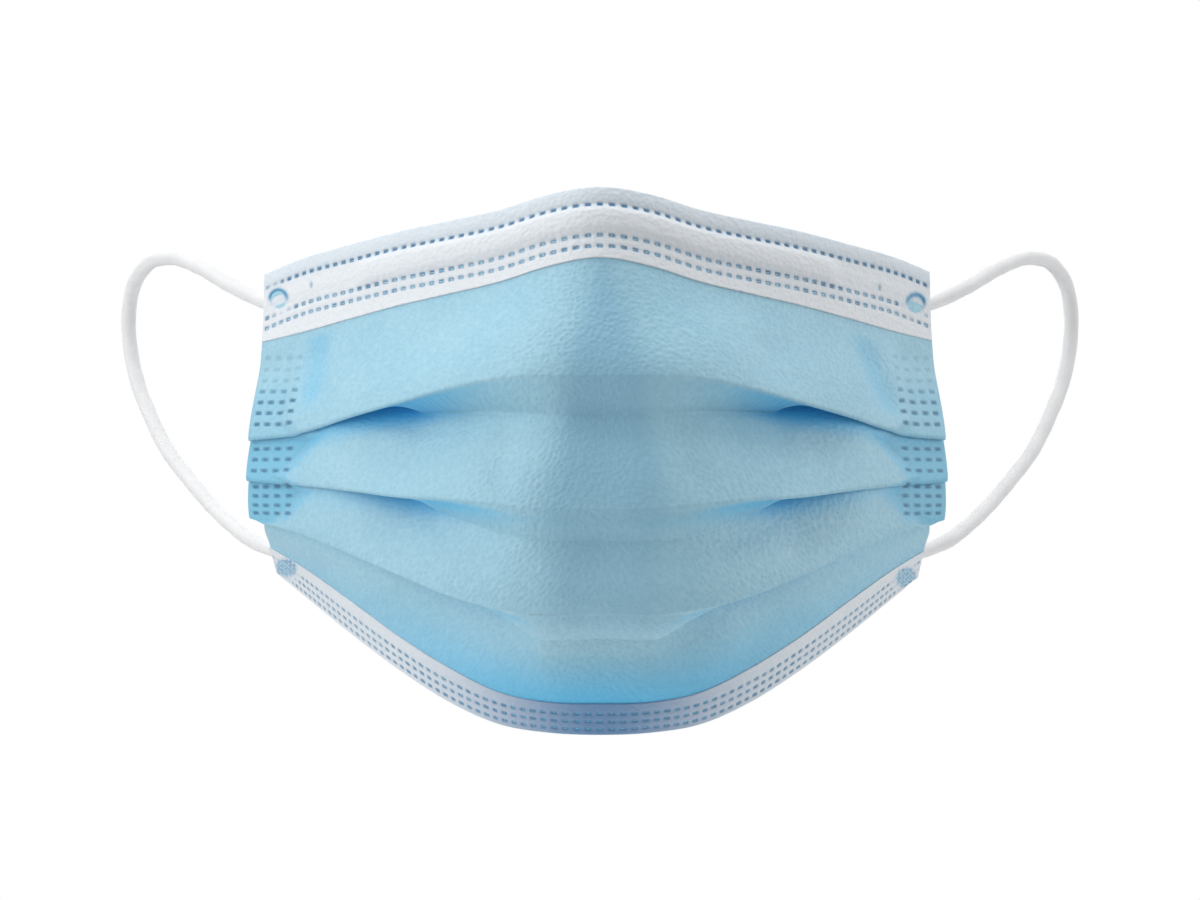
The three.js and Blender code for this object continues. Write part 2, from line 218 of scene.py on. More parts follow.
class Form:
    """The base form at u, the share of each line's half width: a smooth curve down through the
    lines, measured by its length in mm from the top edge."""

    def __init__(self, u):
        u = np.asarray(u, dtype=float)
        x = (u * (1.0 - RIGHT_NARROWER * smooth(u / NARROW_BY)))[..., None] * HALF
        place = np.abs(x) / STATION_STEP
        cell = np.minimum(place.astype(int), HEIGHTS.shape[1] - 2)
        t = place - cell
        row = np.arange(len(LINES))
        low, high = HEIGHTS[row, cell], HEIGHTS[row, cell + 1]
        slope_low, slope_high = HEIGHT_SLOPES[row, cell], HEIGHT_SLOPES[row, cell + 1]
        z = low + (high - low) * t * t * (3 - 2 * t)
        z += slope_low * (1 - t) ** 2 * t - slope_high * (1 - t) * t**2
        cheek = (np.hypot(x, RIDGE) - RIDGE) / (np.hypot(HALF, RIDGE) - RIDGE)
        share = (1 - CURL_SHARE) * cheek + CURL_SHARE * np.abs(x / HALF) ** 3
        y = FRONT + (SIDE - FRONT) * share
        self.knots = np.stack((x, y, z), axis=-1)
        steps = np.diff(self.knots, axis=-2)
        self.runs = np.linalg.norm(steps, axis=-1)
        zero = np.zeros_like(self.runs[..., :1])
        self.lengths = np.concatenate((zero, np.cumsum(self.runs, axis=-1)), axis=-1)
        chords = steps / self.runs[..., None]
        before, after = self.runs[..., :-1, None], self.runs[..., 1:, None]
        mixed = (chords[..., :-1, :] * after + chords[..., 1:, :] * before) / (before + after)
        self.slopes = np.concatenate((chords[..., :1, :], mixed, chords[..., -1:, :]), axis=-2)

    def length_at(self, name):
        return self.lengths[..., LINE_INDEX[name]]

    def point(self, along):
        """Cubic through the two lines above and below; straight on past either end."""
        inner = np.clip(along, 0.0, self.lengths[..., -1])
        cell = np.sum(inner[..., None] > self.lengths[..., 1:-1], axis=-1)[..., None]
        pick = np.take_along_axis
        take = lambda table, index: pick(table, index, axis=-1)[..., 0]
        take3 = lambda table, index: pick(table, index[..., None], axis=-2)[..., 0, :]
        run = take(self.runs, cell)[..., None]
        t = (inner - take(self.lengths, cell))[..., None] / run
        low, high = take3(self.knots, cell), take3(self.knots, cell + 1)
        slope_low, slope_high = take3(self.slopes, cell), take3(self.slopes, cell + 1)
        point = low + (high - low) * t * t * (3 - 2 * t)
        point += run * (slope_low * (1 - t) ** 2 * t - slope_high * (1 - t) * t**2)
        slope = np.where((along < 0)[..., None], self.slopes[..., 0, :], self.slopes[..., -1, :])
        return point + slope * (along - inner)[..., None]


def form_point(u, along):
    """Point of the base form for each column u and each of its rows."""
    return Form(u[:, None] * np.ones(along.shape[1])).point(along)


def frame_on_form(u, along):
    """Point of the base form, the unit way across and the unit way inward."""
    step_across, step_down = 0.004, 1.0
    form = Form(u)
    down = form.point(along + step_down) - form.point(along - step_down)
    across = Form(u + step_across).point(along) - Form(u - step_across).point(along)
    across /= np.linalg.norm(across, axis=-1, keepdims=True)
    inward = np.cross(across, down)
    inward /= np.linalg.norm(inward, axis=-1, keepdims=True)
    return form.point(along), across, inward


# Weld strips at the sides, where the pleats are pressed flat: distance of the strip's inner edge
# from the middle, by line number. On each panel it runs aslant, and steps in at each fold.
StripEdge = namedtuple("StripEdge", "line x")
STRIP_EDGES = (
    StripEdge(1.0, 61.0),
    StripEdge(1.88, 61.6),
    StripEdge(2.12, 56.0),
    StripEdge(2.88, 62.4),
    StripEdge(3.12, 58.0),
    StripEdge(3.9, 63.4),
    StripEdge(4.2, 72.0),
)
PRESS_DEPTH = 0.9
PRESS_SOFT = 2.6
# Low swells of the slack cloth: depth, and the half width over which they show and then fade
SWELL_DEPTH = 0.26
SWELL_HALF = 30.0
SWELL_FADE = 26.0
# Soft upright creases. x: where they stand. wide, deep: their size. start, stop: the lines they
# run between. lean: how far they lean outwards on their way down.
Crease = namedtuple("Crease", "x wide deep start stop lean")
CREASES = (
    Crease(-57.5, 2.8, 1.2, 1.02, 1.85, 0.5),
    Crease(54.5, 2.8, 1.1, 1.1, 1.95, 5.0),
    Crease(-20.5, 2.8, 0.6, 2.15, 3.1, -1.0),
    Crease(17.0, 4.0, 0.8, 2.1, 3.05, 3.0),
    Crease(-15.0, 3.0, 0.3, 3.3, 4.0, 0.0),
    Crease(13.0, 3.4, 0.3, 3.2, 4.0, 2.0),
    Crease(33.0, 5.0, 0.4, 1.3, 2.0, 4.0),
    Crease(-36.0, 6.0, 0.3, 2.4, 3.0, 3.0),
)


def line_number(form, along):
    """Which line a point lies at: 0 on the top edge, 1 on the top hem's line, and so on, with
    the share of the way between two lines as the fraction."""
    share = (along[..., None] - form.lengths[..., :-1]) / form.runs
    return np.sum(np.clip(share, 0.0, 1.0), axis=-1)


def strip_edge(number):
    """Distance of the weld strip's inner edge from the middle at a line number."""
    return np.interp(number, [row.line for row in STRIP_EDGES], [row.x for row in STRIP_EDGES])


def slack_of_cloth(u, along):
    """How far the cloth stands behind the base form by its own folds and dents, in mm: flat over
    the middle, pressed in at the side welds, with upright creases and low swells."""
    form = Form(u)
    x = u * NOMINAL_HALF
    number = line_number(form, along)
    lines = np.arange(len(LINES))
    flat_in = np.interp(number, lines, [line.flat_in for line in LINES])
    flat_wide = np.interp(number, lines, [line.flat_wide for line in LINES])
    slack = flat_in * hump(x, flat_wide)
    fade = smooth((number - 1.0) / 0.3) * smooth((4.3 - number) / 0.3)
    slack = slack + PRESS_DEPTH * fade * smooth((np.abs(x) - strip_edge(number)) / PRESS_SOFT)
    for crease in CREASES:
        share = (number - crease.start) / (crease.stop - crease.start)
        place = crease.x + np.sign(crease.x) * crease.lean * np.clip(share, 0.0, 1.0)
        reach = smooth(share / 0.35) * smooth((1.0 - share) / 0.35)
        slack = slack + crease.deep * hump(x - place, crease.wide) * reach
    waves = np.sin(x / 6.3 + 0.7) + 0.6 * np.sin(x / 3.9 + 2.1 + 1.7 * number)
    between = np.sin(np.pi * np.clip(number, 1.0, 5.0)) ** 2
    return slack + SWELL_DEPTH * waves * between * spot(x, SWELL_HALF, SWELL_FADE)


def place_on_form(u, along, depth):
    """Point `along` mm down column u and `depth` mm behind the form. Towards the sides the
    layers behind also lie further out, so that their cut ends line up from the front."""
    point, across, inward = frame_on_form(u, along)
    outward = np.sign(u) * smooth((np.abs(u) - ALIGN_FROM) / (1 - ALIGN_FROM))
    depth = depth + slack_of_cloth(u, along)
    return point + (inward + across * outward[..., None]) * depth[..., None]


class Path:
    """Middle line of the cloth at every column, as (along, depth) in mm, built part by part."""

    def __init__(self, along, depth):
        self.parts = [np.stack(np.broadcast_arrays(along, depth), axis=-1)[:, None]]

    @property
    def end(self):
        return self.parts[-1][:, -1, 0], self.parts[-1][:, -1, 1]

    def run(self, along, depth, rows, belly=0.0):
        """Straight to a point, or bellied out by belly * sin."""
        t = (np.arange(rows) + 1.0) / rows
        from_along, from_depth = self.end
        to = [np.broadcast_to(value, from_along.shape)[:, None] for value in (along, depth)]
        a = from_along[:, None] + (to[0] - from_along[:, None]) * t
        d = from_depth[:, None] + (to[1] - from_depth[:, None]) * t
        d = d - np.broadcast_to(belly, from_along.shape)[:, None] * np.sin(np.pi * t)
        self.parts.append(np.stack((a, d), axis=-1))

    def arc(self, radius, start, stop, rows):
        """Arc of a radius while the heading turns from start to stop, in radians."""
        t = ((np.arange(rows) + 1.0) / rows)[None]
        start, stop = (np.atleast_1d(value)[:, None] for value in (start, stop))
        radius = np.atleast_1d(radius)[:, None]
        heading = start + (stop - start) * t
        sign = np.sign(stop - start)
        along, depth = self.end
        a = along[:, None] + sign * radius * (np.sin(heading) - np.sin(start))
        d = depth[:, None] + sign * radius * (np.cos(start) - np.cos(heading))
        self.parts.append(np.stack((a, d), axis=-1))

    def points(self):
        return np.concatenate(self.parts, axis=1)


def turn_of_pleat(pleat, x):
    """Turn at a fold in radians: from `middle` up to a quarter turn as the share to the power
    1.4, then up to a half turn, easing off as a parabola."""
    first = np.clip((x - pleat.open) / (pleat.level - pleat.open), 0, 1)
    second = np.clip((x - pleat.level) / (pleat.closed - pleat.level), 0, 1)
    degrees = pleat.middle + (90 - pleat.middle) * first**1.4 + 90 * (1 - (1 - second) ** 2)
    return np.radians(degrees)


def cloth_path(u):
    """Four panels with a folded ply after each fold, at every column u. Returns the path, the
    share of side inset at each row and the rows at which the folds start."""
    form = Form(u)
    tuck = HEM_DEPTH + 0.5
    path = Path(np.full(u.shape, tuck), 0.0)
    path.run(form.length_at("top_hem") - 0.6, 0.0, EDGE_ROWS)
    above = None
    fold_rows = []
    for pleat in PLEATS:
        fold = form.length_at(pleat.fold)
        turn = turn_of_pleat(pleat, np.abs(u) * HALF[LINE_INDEX[pleat.fold]])
        radius = FOLD_RADIUS * (1 + 1.2 * smooth((1.4 - turn) / 0.8))
        end = fold - radius * np.sin(np.minimum(turn, np.pi / 2))
        if above is None:
            path.run(end, 0.0, TOP_PANEL_ROWS)
            tilt = np.zeros_like(end)
        else:
            tilt = panel_below(path, above, above_turn, end, PANEL_ROWS)
        fold_start = sum(part.shape[1] for part in path.parts)
        fold_rows.append(fold_start)
        path.arc(radius, -tilt, turn - tilt, FOLD_ROWS)
        ply = pleat.ply * (1 - PLY_SLACK * np.sin(turn) ** 2)
        along, depth = path.end
        to = along + ply * np.cos(turn - tilt), depth + ply * np.sin(turn - tilt)
        path.run(*to, PLY_ROWS, belly=0.5 * spot(turn, 1.5, 0.6))
        inner_radius = FOLD_RADIUS * (1 + 2.0 * smooth((1.4 - turn) / 0.8))
        path.arc(inner_radius, turn - tilt, -tilt, TURN_ROWS)
        above, above_turn = fold, turn
    panel_start = sum(part.shape[1] for part in path.parts)
    panel_below(path, above, above_turn, form.length_at("bottom_hem"), LAST_PANEL_ROWS)
    path.run(form.length_at("bottom_edge") - tuck, 0.0, EDGE_ROWS)
    points = path.points()
    row = np.arange(points.shape[1])
    hidden = smooth((row - fold_start) / (panel_start - fold_start))
    regained = smooth((row - panel_start) / (points.shape[1] - panel_start))
    return points, SIDE_INSET * hidden * (1 - regained), fold_rows


def panel_below(path, above, turn, end, rows_below):
    """Panel under a pleat: straight to its fold when open, and held behind the fold above when
    shut. Returns its tilt at the fold."""
    start, depth = path.end
    share = np.clip((above + FOLD_RADIUS - start) / (end - start), 0.25, 0.8)
    straight = depth * (1 - share)
    waist = np.where(turn > np.pi / 2, np.maximum(straight, 2 * LAYER_PITCH), straight)
    path.run(start + (end - start) * share, waist, WAIST_ROWS)
    belly = 0.5 * spot(turn, 1.6, 0.8)
    path.run(end, 0.0, rows_below, belly=belly)
    return np.arctan2(waist, end - start - (end - start) * share)


def shifted(path, distance):
    """The path moved along its own normal in the (along, depth) plane."""
    way = np.gradient(path, axis=1)
    way /= np.linalg.norm(way, axis=-1, keepdims=True)
    normal = np.stack((-way[..., 1], way[..., 0]), axis=-1)
    return path + normal * np.asarray(distance)[..., None]


def across_length(u, along):
    """Length along a level line of the form, from the middle, for sorted columns u."""
    fine = np.linspace(-1, 1, 2001)
    points = Form(fine).point(np.full(fine.shape, along))
    steps = np.linalg.norm(np.diff(points, axis=0), axis=-1)
    length = np.concatenate(([0], np.cumsum(steps)))
    length -= length[len(fine) // 2]
    return np.interp(u, fine, length)


# Where the mask's width round the form is measured, in mm down from the top edge
PANEL_LEVEL = 30.0
TOP_HEM_LEVEL = 7.0
BOTTOM_HEM_LEVEL = 110.0


def cloth_wall(u, path, front, back, dent, inset=0.0):
    """Points and UVs of a wall from `front` to `back` of a path. `dent` presses the front face
    in by its own value at each point, and the back face by 0.3 of that. The UV is the length
    across the form and the length down it."""
    u_rows = u[:, None] * (1 - inset * np.ones((1, path.shape[1])))
    faces = []
    for distance in (front + dent, back + 0.3 * dent):
        face = shifted(path, distance)
        faces.append(place_on_form(u_rows, face[..., 0], face[..., 1]))
    points = np.concatenate((faces[0], faces[1][:, ::-1]), axis=1)
    down = path[..., 0]
    across = np.broadcast_to(across_length(u, PANEL_LEVEL)[:, None], down.shape)
    uv = np.stack((across, down), axis=-1)
    uv = np.concatenate((uv, uv[:, ::-1]), axis=1)
    return points.reshape(-1, 3), uv.reshape(-1, 2)


def both_faces(values):
    """Point values for the front face and the back face of a wall."""
    return np.concatenate((values, values[:, ::-1]), axis=1).ravel()


# ---------------------------------------------------------------- weld patterns
# Side welds: columns by their distance in from the cut edge, rows by their height
SIDE_COLUMNS = (1.5, 3.75, 6.1, 8.5)
SIDE_ROWS = (-26.6, -28.8, -31.0, -33.2, -35.4, -37.6, -39.9)
SIDE_ROWS += (-44.4, -46.8, -49.3, -52.3, -54.3, -56.4, -58.2)
FAINT_ROWS = (-30.0, -36.0)
SIDE_DASH = (0.46, 0.24)
DASH_SOFT = 0.3
HEM_DASH_PITCH = 2.4
HEM_DASH = (0.48, 0.22)
# Rows of dashes on the hems, by their distance from the cut edge at the middle and at the side
TOP_ROWS = ((3.7, 3.2), (10.1, 9.4), (12.4, 11.5))
BOTTOM_ROWS = ((1.5, 1.3), (3.5, 3.3), (5.5, 5.4))
# Marks where the cords' ends are welded on from behind. x, z: place. wide, tall: half sizes
Seal = namedtuple("Seal", "x z wide tall")
TOP_SEALS = (Seal(-65.2, -15.0, 2.1, 2.2), Seal(64.0, -15.9, 2.1, 2.2))
BOTTOM_SEALS = (Seal(-63.6, -69.2, 2.6, 2.2), Seal(62.0, -71.2, 2.4, 2.4))
TICKS = (Seal(-58.3, -12.1, 0.35, 0.8), Seal(56.4, -12.7, 0.35, 0.8))


def side_dashes(u, along):
    """Rows of short dashes on the side weld strips, 0 to 1; faint near the top hem."""
    point = Form(u).point(along)
    number = line_number(Form(u), along)
    from_edge = np.interp(number, np.arange(len(LINES)), HALF) * (1.0 - np.abs(u))
    column = sum(spot(from_edge - place, SIDE_DASH[0], DASH_SOFT) for place in SIDE_COLUMNS)
    row = sum(spot(point[..., 2] - height, SIDE_DASH[1], DASH_SOFT) for height in SIDE_ROWS)
    share = (FAINT_ROWS[0] - point[..., 2]) / (FAINT_ROWS[0] - FAINT_ROWS[1])
    strength = 0.25 + 0.75 * smooth(share)
    return column * row * strength * (number < LINE_INDEX["fold_3"] - 0.02)


def seal_distance(point, seal):
    """Distance from a mark's middle as a share of its half sizes."""
    return np.hypot((point[..., 0] - seal.x) / seal.wide, (point[..., 2] - seal.z) / seal.tall)


# ---------------------------------------------------------------- materials
def new_material(name):
    """Empty node material with a Principled shader; returns the material and its helpers."""
    material = bpy.data.materials.new(name)
    material.use_nodes = True
    nodes, links = material.node_tree.nodes, material.node_tree.links
    shader = nodes["Principled BSDF"]

    def node(kind, inputs=(), **settings):
        made = nodes.new(kind)
        for key, value in settings.items():
            setattr(made, key, value)
        for socket, value in dict(inputs).items():
            if isinstance(value, bpy.types.NodeSocket):
                links.new(value, made.inputs[socket])
            else:
                made.inputs[socket].default_value = value
        return made

    return material, shader, node, links


def srgb(red, green, blue):
    """Linear colour, with alpha, from 0 to 255 display values."""
    channels = np.array((red, green, blue)) / 255.0
    linear = np.where(channels <= 0.04045, channels / 12.92, ((channels + 0.055) / 1.055) ** 2.4)
    return (*[float(value) for value in linear], 1.0)


def spunbond(name, base, deep, marks, roughness):
    """Spunbond cloth: bond points at random, fine fibre noise, a slow cloudiness between two
    colours, and a colour for each named mark on the cloth."""
    material, shader, node, links = new_material(name)
    maths = lambda kind, a, b, **more: node(
        "ShaderNodeMath", {0: a, 1: b}, operation=kind, **more
    ).outputs[0]
    noise = lambda scale, detail: node(
        "ShaderNodeTexNoise", {"Vector": uv, "Scale": scale, "Detail": detail}
    ).outputs["Fac"]
    mixed = lambda amount, a, b: node(
        "ShaderNodeMix", {"Factor": amount, 6: a, 7: b}, data_type="RGBA"
    ).outputs[2]
    uv = node("ShaderNodeUVMap", uv_map="cloth").outputs["UV"]
    cloud = noise(CLOUD_SCALE, 4.0)
    grain = noise(FIBRE_SCALE, 3.0)
    stretch = node("ShaderNodeMapping", {"Vector": uv, "Scale": (*BOND_SCALE, 1.0)}).outputs[0]
    bonds = node(
        "ShaderNodeTexVoronoi",
        {"Vector": stretch, "Scale": 1.0, "Randomness": 1.0, "Smoothness": 0.5},
        feature="SMOOTH_F1",
    ).outputs["Distance"]
    speckle = maths("MULTIPLY", bonds, grain)
    factor = maths("ADD", maths("MULTIPLY", cloud, 0.6), speckle, use_clamp=True)
    colour = mixed(factor, deep, base)
    for mark, paint in marks.items():
        amount = node("ShaderNodeAttribute", attribute_name=mark).outputs["Fac"]
        colour = mixed(amount, colour, paint)
    links.new(colour, shader.inputs["Base Color"])
    height = maths("ADD", bonds, maths("MULTIPLY", grain, 0.25))
    relief = {"Height": height, "Strength": 0.3, "Distance": 0.5 * MM}
    links.new(node("ShaderNodeBump", relief).outputs["Normal"], shader.inputs["Normal"])
    shader.inputs["Roughness"].default_value = roughness
    shader.inputs["Specular IOR Level"].default_value = 0.7
    shader.inputs["Sheen Weight"].default_value = 0.25
    shader.inputs["Sheen Roughness"].default_value = 0.5
    return material


def knit(name, base):
    """Knitted elastic: fine fibre noise for the relief and a slow cloudiness of the colour."""
    material, shader, node, links = new_material(name)
    uv = node("ShaderNodeUVMap", uv_map="cloth").outputs["UV"]
    grain = node("ShaderNodeTexNoise", {"Vector": uv, "Scale": 2200.0, "Detail": 3.0})
    cloud = node("ShaderNodeTexNoise", {"Vector": uv, "Scale": 120.0})
    shade = tuple(value * 0.88 for value in base[:3]) + (1.0,)
    blend = {"Factor": cloud.outputs["Fac"], 6: shade, 7: base}
    mix = node("ShaderNodeMix", blend, data_type="RGBA")
    links.new(mix.outputs[2], shader.inputs["Base Color"])
    relief = {"Height": grain.outputs["Fac"], "Strength": 0.5, "Distance": 0.2 * MM}
    links.new(node("ShaderNodeBump", relief).outputs["Normal"], shader.inputs["Normal"])
    shader.inputs["Roughness"].default_value = 0.8
    shader.inputs["Sheen Weight"].default_value = 0.2
    return material


# Scales of the cloth's noises, in repeats a metre
CLOUD_SCALE = 70.0
FIBRE_SCALE = 1300.0
BOND_SCALE = (1000.0, 1150.0)

# The first three marks on the blue cloth are painted shade: a greyer band down the middle, deep
# blue in the gaps under the folds, in the side creases and at the chin, and a deeper blue on the
# fused side strips. The last is the weld dashes' own colour.
BLUE_MARKS = {
    "middle_shade": srgb(134, 186, 213),
    "dusk": srgb(48, 184, 236),
    "press_shade": srgb(104, 186, 219),
    "weld": srgb(52, 120, 156),
}
# On the hems the first mark is a light shade in the grooves and near the top edge, and the second
# is painted shade too: darker blue at the middle of the bottom hem, which turns down away from
# the light. The third and fourth are the weld marks' own colour, save for a painted shadow along
# the upper rim of the top seals.
HEM_MARKS = {
    "shade": srgb(192, 213, 228),
    "chin_shade": srgb(70, 126, 178),
    "weld": srgb(66, 122, 162),
    "seal": srgb(52, 146, 190),
}
INNER_MARKS = {"weld": srgb(190, 205, 216)}
BLUE_CLOTH = spunbond("blue_cloth", srgb(168, 213, 230), srgb(136, 191, 215), BLUE_MARKS, 0.55)
INNER_CLOTH = spunbond("inner_cloth", srgb(224, 229, 233), srgb(214, 220, 226), INNER_MARKS, 0.8)
HEM_CLOTH = spunbond("hem_cloth", srgb(232, 236, 240), srgb(221, 228, 234), HEM_MARKS, 0.7)
ELASTIC = knit("elastic", srgb(236, 237, 238))
WIRE_COAT = knit("wire_coat", srgb(222, 226, 230))

# ---------------------------------------------------------------- ear loops
CORD_RADIUS = 1.5
CORD_SIDES = 32
CORD_RINGS = 900
RIBS = 8
STITCH = 1.1
END_FLAT = 8.0
# Middle line of the left cord in metres, from the upper corner round the ear to the lower one
LOOP_LEFT = np.array((
    (-0.0655, 0.0502, -0.0158),
    (-0.0682, 0.0540, -0.0152),
    (-0.0713, 0.0582, -0.0139),
    (-0.0749, 0.0632, -0.0121),
    (-0.0820, 0.0760, -0.0080),
    (-0.0893, 0.0930, -0.0058),
    (-0.0940, 0.1040, -0.0074),
    (-0.0969, 0.1105, -0.0120),
    (-0.0978, 0.1125, -0.0180),
    (-0.0975, 0.1120, -0.0236),
    (-0.0959, 0.1085, -0.0312),
    (-0.0932, 0.1030, -0.0379),
    (-0.0893, 0.0955, -0.0454),
    (-0.0844, 0.0865, -0.0516),
    (-0.0795, 0.0770, -0.0570),
    (-0.0748, 0.0675, -0.0612),
    (-0.0710, 0.0608, -0.0639),
    (-0.0668, 0.0560, -0.0656),
    (-0.0623, 0.0502, -0.0667),
))
MIRROR = np.array((-1.0, 1.0, 1.0))
CLOTH_WAY_IN = np.array((-0.79, -0.61, 0.0))


def smooth_route(points, count):
    """Evenly spaced points on the smooth curve through the route: a cubic between each two
    points, with slopes from their neighbours, measured by chord length."""
    chord = np.linalg.norm(np.diff(points, axis=0), axis=1)
    knots = np.concatenate(([0], np.cumsum(chord)))
    slopes = np.gradient(points, knots, axis=0)
    fine = np.linspace(0, knots[-1], 4000)
    cell = np.clip(np.searchsorted(knots, fine, side="right") - 1, 0, len(points) - 2)
    run = (knots[cell + 1] - knots[cell])[:, None]
    t = (fine - knots[cell])[:, None] / run
    curve = points[cell] * (1 + 2 * t) * (1 - t) ** 2 + points[cell + 1] * t * t * (3 - 2 * t)
    curve += run * (slopes[cell] * t * (1 - t) ** 2 - slopes[cell + 1] * t * t * (1 - t))
    length = np.concatenate(([0], np.cumsum(np.linalg.norm(np.diff(curve, axis=0), axis=1))))
    even = np.linspace(0, length[-1], count)
    return np.stack([np.interp(even, length, curve[:, axis]) for axis in range(3)], axis=1), even


WELD_HALF = (3.5, 2.2, 0.6)
WELD_BELOW_EDGE = 7.2
Weld = namedtuple("Weld", "name u from_top lean")
WELDS = (
    Weld("top", 0.945, True, -0.2),
    Weld("bottom", 0.93, False, 0.3),
)


def weld_place(weld, sign, depth):
    """Point `depth` mm behind the form at a cord's weld, and the ways across, inward and down."""
    u = np.array([sign * weld.u])
    edge = Form(u).length_at("bottom_edge")
    along = np.array([WELD_BELOW_EDGE]) if weld.from_top else edge - WELD_BELOW_EDGE
    across, inward = (way[0] for way in frame_on_form(u, along)[1:])
    return place_on_form(u, along, np.array([depth]))[0], across, inward, np.cross(inward, across)


def ear_loop(side, mirror):
    """Round cord: a circle with lengthwise ribs and short stitches (a cosine round times a
    cosine along), carried along the route from weld to weld and flattened at both ends."""
    ends = [weld_place(weld, mirror[0] * -1.0, WALL / 2 + 0.75)[0] for weld in WELDS]
    route = np.concatenate((ends[:1], LOOP_LEFT / MM * mirror, ends[1:]))
    route, along = smooth_route(route, CORD_RINGS)
    way = np.gradient(route, axis=0)
    way /= np.linalg.norm(way, axis=1, keepdims=True)
    flat = CLOTH_WAY_IN * mirror
    up = flat - way * (way @ flat)[:, None]
    up /= np.linalg.norm(up, axis=1, keepdims=True)
    side_way = np.cross(way, up)
    angle = np.linspace(0, 2 * np.pi, CORD_SIDES, endpoint=False)
    from_end = np.minimum(along, along[-1] - along)
    squeeze = 1 - smooth(from_end / END_FLAT)
    rib = 0.05 * np.cos(RIBS * angle)[None] * np.cos(2 * np.pi * along / STITCH)[:, None]
    swell = 1 + 0.02 * np.sin(2 * np.pi * along / 7.3)[:, None]
    radius = CORD_RADIUS * swell + rib
    tip = np.sqrt(np.clip(from_end / 0.8, 0.02, 1))[:, None]
    wide = radius * (1 + 0.35 * squeeze[:, None]) * np.cos(angle) * tip
    thick = radius * (1 - 0.5 * squeeze[:, None]) * np.sin(angle) * tip
    points = route[:, None] + wide[..., None] * side_way[:, None] + thick[..., None] * up[:, None]
    quads = tube_quads(CORD_RINGS, CORD_SIDES)
    uv = np.stack(np.broadcast_arrays(angle[None] * CORD_RADIUS, along[:, None]), axis=-1)
    points, uv = points.reshape(-1, 3), uv.reshape(-1, 2)
    ends = [np.arange(CORD_SIDES)[::-1], np.arange(CORD_SIDES) + (CORD_RINGS - 1) * CORD_SIDES]
    piece = make_piece(
        f"ear_cord_{side}", points, quads, ELASTIC, f"ear_loop_{side}", uv
    )
    close_ends(piece, ends)
    return piece


def close_ends(piece, rings):
    """Closes each given ring of points with one face."""
    build = bmesh.new()
    build.from_mesh(piece.data)
    build.verts.ensure_lookup_table()
    for ring in rings:
        build.faces.new([build.verts[int(index)] for index in ring])
    bmesh.ops.recalc_face_normals(build, faces=build.faces)
    build.to_mesh(piece.data)
    build.free()
    piece.data.shade_smooth()


for side_name, side_mirror in (("left", np.ones(3)), ("right", MIRROR)):
    ear_loop(side_name, side_mirror)

# ---------------------------------------------------------------- cloth
SIDE_FINE_FROM = 60.0 / 71.0
MIDDLE_STEPS = 104
STRIP_STEPS = 28


def cloth_columns(middle, side):
    """Columns u from -1 to 1: `middle` steps between the weld strips, `side` on each strip."""
    strip = np.linspace(SIDE_FINE_FROM, 1.0, side + 1)
    inner = np.linspace(-SIDE_FINE_FROM, SIDE_FINE_FROM, middle + 1)
    return np.concatenate((-strip[:0:-1], inner, strip[1:]))


def pressed_shade_share(u, along):
    """1 where the second and third panels are fused at the sides: painted shade, a deeper blue.
    """
    number = line_number(Form(u), along)
    inside = smooth((np.abs(u) * NOMINAL_HALF - strip_edge(number)) / 2.0)
    # Painted shade: a little on the first panel's lower strip, most on the strips under the
    # folds.
    amount = 0.3 * smooth((number - 1.35) / 0.3) + 0.5 * smooth((number - 2.0) / 0.05)
    return amount * inside * smooth((4.05 - number) / 0.05)


# Painted shade: a greyer band down the middle over nose and mouth, where less light falls.
# line: at which line, as line_number gives it. half: half width there. amount: how much.
MiddleShade = namedtuple("MiddleShade", "line half amount")
MIDDLE_SHADE_ROWS = (
    MiddleShade(1.0, 0.5, 0.6),
    MiddleShade(1.3, 3.5, 0.9),
    MiddleShade(2.0, 9.0, 0.85),
    MiddleShade(2.5, 11.0, 0.8),
    MiddleShade(3.0, 12.0, 0.6),
    MiddleShade(4.0, 10.0, 0.35),
    MiddleShade(4.5, 9.0, 0.0),
)
MIDDLE_SHADE_SOFT = 7.0


def middle_shade_share(u, along):
    """Share of painted grey shade down the middle: narrow at the nose, wider over the mouth."""
    number = line_number(Form(u), along)
    half, amount = (
        np.interp(number, [row.line for row in MIDDLE_SHADE_ROWS], [getattr(row, name) for row in MIDDLE_SHADE_ROWS])
        for name in ("half", "amount")
    )
    return amount * spot(u * NOMINAL_HALF - 0.8, half - MIDDLE_SHADE_SOFT / 2, MIDDLE_SHADE_SOFT)


# How far below a fold the shade reaches, in mm
DUSK_REACH = 6.0


def dusk_of_cloth(u, path, fold_rows):
    """Depth of shade, 0 to 1: in the gap under each fold, by how far behind the form the cloth
    runs, in the two upright side creases, along the weld strips' inner edges, and along the foot
    of the lowest panel, where it turns under the chin."""
    form = Form(u)
    x = np.abs(u) * NOMINAL_HALF
    number = line_number(form, path[..., 0])
    inside = smooth((path[..., 1] - 0.1) / 0.5)
    dusk = 0.0
    row = np.arange(path.shape[1])
    for pleat, fold_row in zip(PLEATS, fold_rows):
        below = path[..., 0] - form.length_at(pleat.fold)
        near = smooth((row - fold_row) / 6.0) * (1.0 - smooth((below + 0.5) / DUSK_REACH))
        gap = inside * near * hump(x - pleat.dusk_at, pleat.dusk_wide)
        dusk = np.maximum(dusk, pleat.dusk * gap)
    for crease in CREASES[:2]:
        share = (number - crease.start) / (crease.stop - crease.start)
        place = np.abs(crease.x) + crease.lean * np.clip(share, 0.0, 1.0)
        fade = smooth(share / 0.1) * smooth((1.0 - share) / 0.3)
        same_side = np.sign(u) == np.sign(crease.x)
        dusk = dusk + 0.3 * fade * same_side * hump(x - place, 2.4)
    hinge = smooth((number - 2.05) / 0.1) * smooth((3.9 - number) / 0.2)
    dusk = dusk + 0.4 * hinge * hump(x - strip_edge(number), 0.9)
    foot = smooth((number - 4.35) / 0.65) * (0.12 + 0.75 * hump(x, 34.0))
    return np.clip(dusk + foot, 0.0, 1.0)


